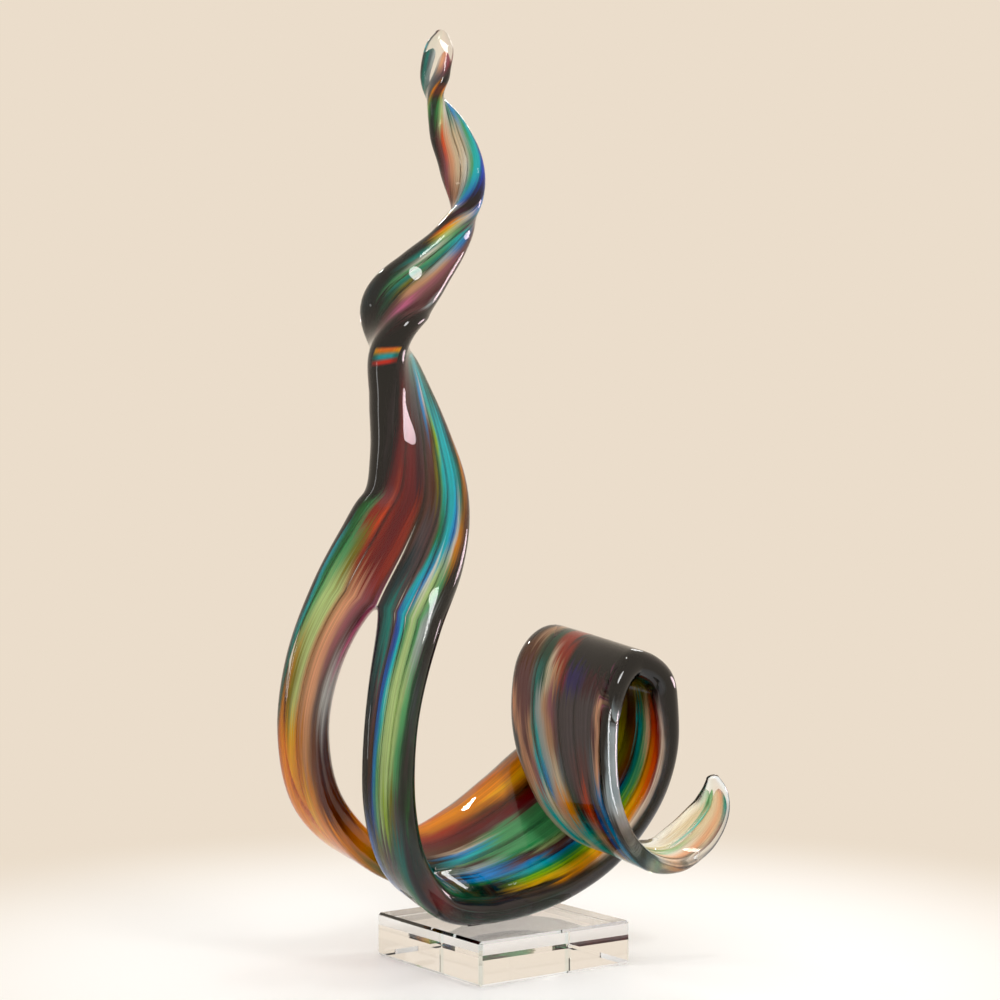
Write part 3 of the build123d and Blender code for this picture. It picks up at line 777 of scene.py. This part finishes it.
@dataclass(frozen=True)
class RodColourAndPaintedLight:
    """Colours drawn out with the glass, with painted shade, highlights and reflections at some lanes: a node group that
    reads a point's place down the ribbon and its lane.
    """

    name: str = "rod_colour_and_painted_light"
    sway: float = 0.04
    sway_scale: tuple[float, float, float] = (0.55, 3.0, 1.0)
    fray: float = 0.028
    thread_depth: float = 0.36
    comb: float = 0.45
    comb_scale: tuple[float, float, float] = (0.2, 24.0, 1.0)
    twist: float = 10.15
    steady: float = 0.35
    loose: float = 1.0
    thread_scale: tuple[float, float, float] = (0.35, 46.0, 1.0)
    saturation: float = 1.1
    level: float = 1.25

    def group(self) -> bpy.types.NodeTree:
        """Makes the node group, or finds it when it is made already."""
        if self.name in bpy.data.node_groups:
            return bpy.data.node_groups[self.name]
        tree = bpy.data.node_groups.new(self.name, "ShaderNodeTree")
        tree.interface.new_socket("Color", in_out="OUTPUT", socket_type="NodeSocketColor")
        place = add_node(tree, "Attribute", {"attribute_name": "place"}).outputs["Fac"]
        lane = add_node(tree, "Attribute", {"attribute_name": "lane"}).outputs["Fac"]
        flat = add_node(tree, "CombineXYZ", {}, {"X": place, "Y": lane}).outputs[0]
        threads = self.noise(tree, flat, self.thread_scale, 4.0)
        moved = lane
        for pattern, reach in ((self.noise(tree, flat, self.sway_scale, 3.0), self.sway), (threads, self.fray)):
            shift = add_node(
                tree, "MapRange", {"From Min": 0.25, "From Max": 0.75, "To Min": -reach, "To Max": reach},
                {"Value": pattern},
            ).outputs[0]
            moved = add_node(tree, "Math", {"operation": "ADD"}, {0: moved, 1: shift}).outputs[0]
        across = add_node(tree, "MapRange", {"From Min": -1.0, "From Max": 1.0}, {"Value": moved}).outputs[0]
        place = self.combed(tree, place, flat)
        colour = self.ramp(tree, STREAKS[0], across)
        for before, streak in zip(STREAKS, STREAKS[1:]):
            share = add_node(
                tree, "MapRange",
                {"interpolation_type": "SMOOTHSTEP", "From Min": before.place, "From Max": streak.place},
                {"Value": place},
            ).outputs[0]
            ramp = self.ramp(tree, streak, across)
            colour = add_node(tree, "Mix", {"data_type": "RGBA"}, {0: share, 6: colour, 7: ramp}).outputs[2]
        level = add_node(
            tree, "MapRange",
            {"From Min": 0.3, "From Max": 0.7, "To Min": self.level - self.thread_depth,
             "To Max": self.level + self.thread_depth},
            {"Value": threads},
        ).outputs[0]
        toned = add_node(
            tree, "HueSaturation", {"Saturation": self.saturation}, {"Value": level, "Color": colour}
        ).outputs[0]
        tree.links.new(toned, tree.nodes.new("NodeGroupOutput").inputs[0])
        return tree

    def combed(self, tree: bpy.types.NodeTree, place, flat):
        """Moves where each thread starts and ends, so colours meet in threads; the tight twist stays steady."""
        off = add_node(tree, "Math", {"operation": "SUBTRACT", 1: self.twist}, {0: place}).outputs[0]
        far = add_node(tree, "Math", {"operation": "ABSOLUTE"}, {0: off}).outputs[0]
        reach = add_node(
            tree, "MapRange", {"From Min": self.steady, "From Max": self.loose, "To Max": self.comb}, {"Value": far}
        ).outputs[0]
        pattern = self.noise(tree, flat, self.comb_scale, 3.0)
        way = add_node(
            tree, "MapRange", {"From Min": 0.25, "From Max": 0.75, "To Min": -1.0, "To Max": 1.0},
            {"Value": pattern},
        ).outputs[0]
        return add_node(
            tree, "Math", {"operation": "MULTIPLY_ADD"}, {0: way, 1: reach, 2: place}
        ).outputs[0]

    def noise(self, tree: bpy.types.NodeTree, where, scale: tuple[float, float, float], detail: float):
        """Adds a stretched noise over place and lane and returns its output."""
        stretched = add_node(tree, "Mapping", {"Scale": scale}, {"Vector": where}).outputs[0]
        return add_node(
            tree, "TexNoise", {"Scale": 1.0, "Detail": detail, "Roughness": 0.6}, {"Vector": stretched}
        ).outputs["Fac"]

    def ramp(self, tree: bpy.types.NodeTree, streak: Streak, across):
        """Adds one colour ramp across the band and returns its output."""
        node = add_node(tree, "ValToRGB", {}, {"Fac": across})
        node.color_ramp.interpolation = "EASE"
        elements = node.color_ramp.elements
        while len(elements) < len(streak.rods):
            elements.new(0.5)
        for element, (lane, rod) in zip(elements, streak.rods):
            element.position = (lane + 1) / 2
            element.color = linear(rod.value)
        return node.outputs["Color"]

    def output(self, tree: bpy.types.NodeTree):
        """Adds the group to a material's tree and returns its colour."""
        node = tree.nodes.new("ShaderNodeGroup")
        node.node_tree = self.group()
        return node.outputs[0]


def new_material(name: str) -> tuple[bpy.types.Material, bpy.types.NodeTree, bpy.types.Node]:
    """Makes an empty material with a principled shader on its output.

    Args:
        name: The material's name.

    Returns:
        The material, its tree and the shader node.
    """
    material = bpy.data.materials.new(name)
    material.use_nodes = True
    tree = material.node_tree
    tree.nodes.clear()
    shader = add_node(tree, "BsdfPrincipled")
    add_node(tree, "OutputMaterial", {}, {"Surface": shader.outputs[0]})
    return material, tree, shader


@dataclass(frozen=True)
class FurnaceGlass:
    """Clear furnace glass, fire-polished: mirror-smooth, with slow ripples, and tinted by the rods, whose colour it
    takes at full strength along its edges, where it is mostly black painted shade for the dark outlines.
    """

    name: str = "fire_polished_furnace_glass"
    tint: str = "#FAFAF6"
    face_stain: float = 0.10
    edge_stain_and_painted_shade: float = 1.0
    stain_and_shade_start: float = 0.80
    stain_and_shade_full: float = 0.93
    ior: float = 1.5
    ripple_size: float = 22.0 * MM
    ripple_depth: float = 0.25 * MM

    def material(self) -> bpy.types.Material:
        """Makes the material."""
        material, tree, shader = new_material(self.name)
        lane = add_node(tree, "Attribute", {"attribute_name": "lane"}).outputs["Fac"]
        out = add_node(tree, "Math", {"operation": "ABSOLUTE"}, {0: lane}).outputs[0]
        # Painted shade: towards the rims the glass takes the rods' colour at full strength, mostly black there, which
        # paints the dark outlines that refraction gives along the edges.
        stain_and_shade_share = add_node(
            tree, "MapRange",
            {"interpolation_type": "SMOOTHSTEP", "From Min": self.stain_and_shade_start, "From Max": self.stain_and_shade_full,
             "To Min": self.face_stain, "To Max": self.edge_stain_and_painted_shade},
            {"Value": out},
        ).outputs[0]
        colour = add_node(
            tree, "Mix", {"data_type": "RGBA", 6: linear(self.tint)}, {0: stain_and_shade_share, 7: RodColourAndPaintedLight().output(tree)}
        ).outputs[2]
        tree.links.new(colour, shader.inputs["Base Color"])
        shader.inputs["Roughness"].default_value = 0.0
        shader.inputs["IOR"].default_value = self.ior
        shader.inputs["Transmission Weight"].default_value = 1.0
        where = add_node(tree, "TexCoord").outputs["Object"]
        ripple = add_node(
            tree, "TexNoise", {"Scale": 1 / self.ripple_size, "Detail": 1.0, "Roughness": 0.4}, {"Vector": where}
        ).outputs["Fac"]
        bump = add_node(
            tree, "Bump", {"Strength": 0.35, "Distance": self.ripple_depth}, {"Height": ripple}
        ).outputs[0]
        tree.links.new(bump, shader.inputs["Normal"])
        return material


@dataclass(frozen=True)
class CaneGlass:
    """Coloured glass drawn inside clear glass: no surface of its own, a body colour that lets light through."""

    name: str
    see_through: float = 0.3
    tail_see_through: float = 0.9
    tail_start: float = 32.4
    tail_full: float = 34.6
    ior: float = 1.02
    roughness: float = 0.04

    def material(self) -> bpy.types.Material:
        """Makes the material."""
        material, tree, shader = new_material(self.name)
        tree.links.new(RodColourAndPaintedLight().output(tree), shader.inputs["Base Color"])
        shader.inputs["Roughness"].default_value = self.roughness
        shader.inputs["IOR"].default_value = self.ior
        place = add_node(tree, "Attribute", {"attribute_name": "place"}).outputs["Fac"]
        clear = add_node(
            tree, "MapRange",
            {"From Min": self.tail_start, "From Max": self.tail_full, "To Min": self.see_through,
             "To Max": self.tail_see_through},
            {"Value": place},
        ).outputs[0]
        tree.links.new(clear, shader.inputs["Transmission Weight"])
        return material


@dataclass(frozen=True)
class OpticalCrystal:
    """Cut and polished optical crystal: water-clear, with a pale aqua cast along its edges."""

    name: str = "polished_optical_crystal"
    tint: str = "#FFFFFF"
    edge_tint: str = "#BFE4E6"
    ior: float = 1.52
    edge_width: float = 2.2 * MM

    def material(self) -> bpy.types.Material:
        """Makes the material."""
        material, tree, shader = new_material(self.name)
        low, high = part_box("crystal_plinth")
        where = add_node(tree, "TexCoord").outputs["Object"]
        parts = add_node(tree, "SeparateXYZ", {}, {0: where})
        near = []
        for axis, name in enumerate("XY"):
            middle, half = (low[axis] + high[axis]) / 2, (high[axis] - low[axis]) / 2
            off = add_node(tree, "Math", {"operation": "SUBTRACT", 1: middle}, {0: parts.outputs[name]}).outputs[0]
            out = add_node(tree, "Math", {"operation": "ABSOLUTE"}, {0: off}).outputs[0]
            near.append(
                add_node(
                    tree, "MapRange", {"From Min": half - self.edge_width, "From Max": half}, {"Value": out}
                ).outputs[0]
            )
        edge = add_node(tree, "Math", {"operation": "MULTIPLY"}, {0: near[0], 1: near[1]}).outputs[0]
        colour = add_node(
            tree, "Mix", {"data_type": "RGBA", 6: linear(self.tint), 7: linear(self.edge_tint)}, {0: edge}
        ).outputs[2]
        tree.links.new(colour, shader.inputs["Base Color"])
        shader.inputs["Roughness"].default_value = 0.0
        shader.inputs["IOR"].default_value = self.ior
        shader.inputs["Transmission Weight"].default_value = 1.0
        return material


@dataclass(frozen=True)
class CuredAdhesive:
    """UV-cured clear adhesive: glassy, with a very faint warm cast."""

    name: str = "cured_clear_adhesive"
    tint: str = "#F2F3EE"
    ior: float = 1.49
    mottle_size: float = 3.0 * MM

    def material(self) -> bpy.types.Material:
        """Makes the material."""
        material, tree, shader = new_material(self.name)
        where = add_node(tree, "TexCoord").outputs["Object"]
        mottle = add_node(
            tree, "TexNoise", {"Scale": 1 / self.mottle_size, "Detail": 2.0}, {"Vector": where}
        ).outputs["Fac"]
        rough = add_node(
            tree, "MapRange", {"To Min": 0.02, "To Max": 0.08}, {"Value": mottle}
        ).outputs[0]
        tree.links.new(rough, shader.inputs["Roughness"])
        shader.inputs["Base Color"].default_value = linear(self.tint)
        shader.inputs["IOR"].default_value = self.ior
        shader.inputs["Transmission Weight"].default_value = 1.0
        return material


@dataclass(frozen=True)
class Softbox:
    """One lamp: where it stands from the point that it lights, its size in metres and how bright its face is."""

    name: str
    aim: tuple[float, float, float]
    azimuth: float
    height: float
    distance: float
    size: tuple[float, float]
    glow: float
    colour: str = "#FFFFFF"


SOFTBOXES = (
    Softbox("key", (-0.05, 0.0, 0.30), 175.0, 38.0, 1.7, (0.40, 0.40), 14.0),
    Softbox("right_window", (-0.06, -0.01, 0.25), 98.0, -2.0, 1.3, (0.60, 0.20), 10.0, "#FFE4EC"),
    Softbox("left_window", (-0.07, -0.006, 0.25), -82.0, -4.0, 1.3, (0.16, 0.5), 4.0),
    Softbox("back_fill", (-0.03, 0.0, 0.25), 52.0, 28.0, 1.8, (0.45, 0.45), 5.0),
    Softbox("top_glint", (0.002, 0.036, 0.067), 133.0, 82.0, 1.4, (0.07, 0.07), 90.0),
    Softbox("back_glint", (0.048, 0.044, 0.145), -7.0, 45.0, 1.4, (0.07, 0.07), 90.0),
)


@dataclass
class Studio:
    """Pale floor, soft lights, pale surroundings and the camera at the photograph's angle."""

    camera_place: tuple[float, float, float] = (-0.5805, -0.8089, 0.215)
    camera_aim: tuple[float, float, float] = (0.582, 0.813, 0.0)
    lens: float = 76.5
    floor_radius: float = 3.0
    backdrop: str = "#EBDDCB"
    table: str = "#FAF9F6"
    table_inner: float = 0.14
    table_outer: float = 0.42
    floor_drop: float = 0.1 * MM

    def camera(self) -> None:
        """Adds the camera."""
        data = bpy.data.cameras.new("camera")
        data.lens = self.lens
        data.sensor_width = 36.0
        data.dof.use_dof = False
        data.clip_start, data.clip_end = 0.05, 50.0
        camera = bpy.data.objects.new("camera", data)
        camera.location = self.camera_place
        camera.rotation_mode = "QUATERNION"
        camera.rotation_quaternion = Vector(self.camera_aim).to_track_quat("-Z", "Y")
        bpy.context.scene.collection.objects.link(camera)
        bpy.context.scene.camera = camera

    def seen(self, tree: bpy.types.NodeTree):
        """One for rays of the eye, also in reflections and through glass, and zero for rays that bring light."""
        path = add_node(tree, "LightPath")
        eye = add_node(
            tree, "Math", {"operation": "MAXIMUM"},
            {0: path.outputs["Is Camera Ray"], 1: path.outputs["Is Transmission Ray"]},
        ).outputs[0]
        return add_node(tree, "Math", {"operation": "MAXIMUM"}, {0: eye, 1: path.outputs["Is Glossy Ray"]}).outputs[0]

    def floor(self) -> None:
        """Adds the floor: a white table top that fades into the pale surroundings."""
        ring, points, faces = 96, [(0.0, 0.0, -self.floor_drop)], []
        for index in range(ring):
            angle = 2 * math.pi * index / ring
            points.append((self.floor_radius * math.cos(angle), self.floor_radius * math.sin(angle), -self.floor_drop))
            faces.append((0, index + 1, (index + 1) % ring + 1))
        mesh = bpy.data.meshes.new("floor")
        mesh.from_pydata(points, [], faces)
        floor = bpy.data.objects.new("floor", mesh)
        bpy.context.scene.collection.objects.link(floor)
        material = bpy.data.materials.new("pale_table")
        material.use_nodes = True
        tree = material.node_tree
        tree.nodes.clear()
        where = add_node(tree, "NewGeometry").outputs["Position"]
        far = add_node(tree, "VectorMath", {"operation": "LENGTH"}, {0: where}).outputs["Value"]
        fade = add_node(
            tree, "MapRange",
            {"interpolation_type": "SMOOTHSTEP", "From Min": self.table_inner, "From Max": self.table_outer},
            {"Value": far},
        ).outputs[0]
        top = add_node(tree, "BsdfPrincipled", {"Base Color": linear(self.table), "Roughness": 0.35})
        glow = add_node(tree, "Emission", {"Color": linear(self.backdrop), "Strength": 1.0})
        share = add_node(tree, "Math", {"operation": "MULTIPLY"}, {0: fade, 1: self.seen(tree)}).outputs[0]
        mixed = add_node(tree, "MixShader", {}, {0: share, 1: top.outputs[0], 2: glow.outputs[0]})
        add_node(tree, "OutputMaterial", {}, {"Surface": mixed.outputs[0]})
        floor.data.materials.append(material)

    def world(self) -> None:
        """Adds the pale surroundings: even soft light, and the backdrop's colour for what the eye sees."""
        world = bpy.data.worlds.new("surroundings")
        bpy.context.scene.world = world
        world.use_nodes = True
        tree = world.node_tree
        tree.nodes.clear()
        light = add_node(tree, "Background", {"Color": (1.0, 1.0, 1.0, 1.0), "Strength": 0.95})
        wall = add_node(tree, "Background", {"Color": linear(self.backdrop), "Strength": 1.0})
        mixed = add_node(tree, "MixShader", {}, {0: self.seen(tree), 1: light.outputs[0], 2: wall.outputs[0]})
        add_node(tree, "OutputWorld", {}, {"Surface": mixed.outputs[0]})

    def lamp(self, softbox: "Softbox") -> None:
        """Adds one soft lamp."""
        data = bpy.data.lights.new(softbox.name, "AREA")
        data.shape = "ELLIPSE"
        data.size, data.size_y = softbox.size
        data.energy = softbox.glow * math.pi * math.pi / 4 * softbox.size[0] * softbox.size[1]
        data.color = linear(softbox.colour)[:3]
        lamp = bpy.data.objects.new(softbox.name, data)
        azimuth, height = (math.radians(angle) for angle in (softbox.azimuth, softbox.height))
        way = Vector((math.sin(azimuth) * math.cos(height), math.cos(azimuth) * math.cos(height), math.sin(height)))
        aim = Vector(softbox.aim)
        lamp.location = aim + way * softbox.distance
        lamp.rotation_mode = "QUATERNION"
        lamp.rotation_quaternion = (-way).to_track_quat("-Z", "Y")
        bpy.context.scene.collection.objects.link(lamp)

    def build(self) -> None:
        """Builds the whole studio."""
        self.camera()
        self.floor()
        self.world()
        for softbox in SOFTBOXES:
            self.lamp(softbox)
        bpy.context.scene.view_settings.view_transform = "Standard"


def main() -> None:
    """Builds the sculpture and its studio in order."""
    logging.basicConfig(level=logging.INFO, format="%(message)s")
    Studio().build()
    band = BandShape()
    ribbon = ClearRibbon(band).build()
    ribbon.data.materials.append(FurnaceGlass().material())
    ribbon.visible_shadow = False  # clear glass lets the lamps through to the canes
    log.info("clear ribbon: %d faces", len(ribbon.data.polygons))
    for course in CANES:
        piece = ColouredCane(band, course).build()
        piece.data.materials.append(CaneGlass(course.node.replace("_cane", "_glass")).material())
        log.info("%s: %d faces", course.node, len(piece.data.polygons))
    for node, finish in (("crystal_plinth", OpticalCrystal()), ("adhesive_film", CuredAdhesive())):
        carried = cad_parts[node]
        carried.data.materials.clear()
        carried.data.materials.append(finish.material())
        carried.visible_shadow = False
        log.info("%s: CAD mesh kept, new material", node)


if __name__ == "__main__":
    main()
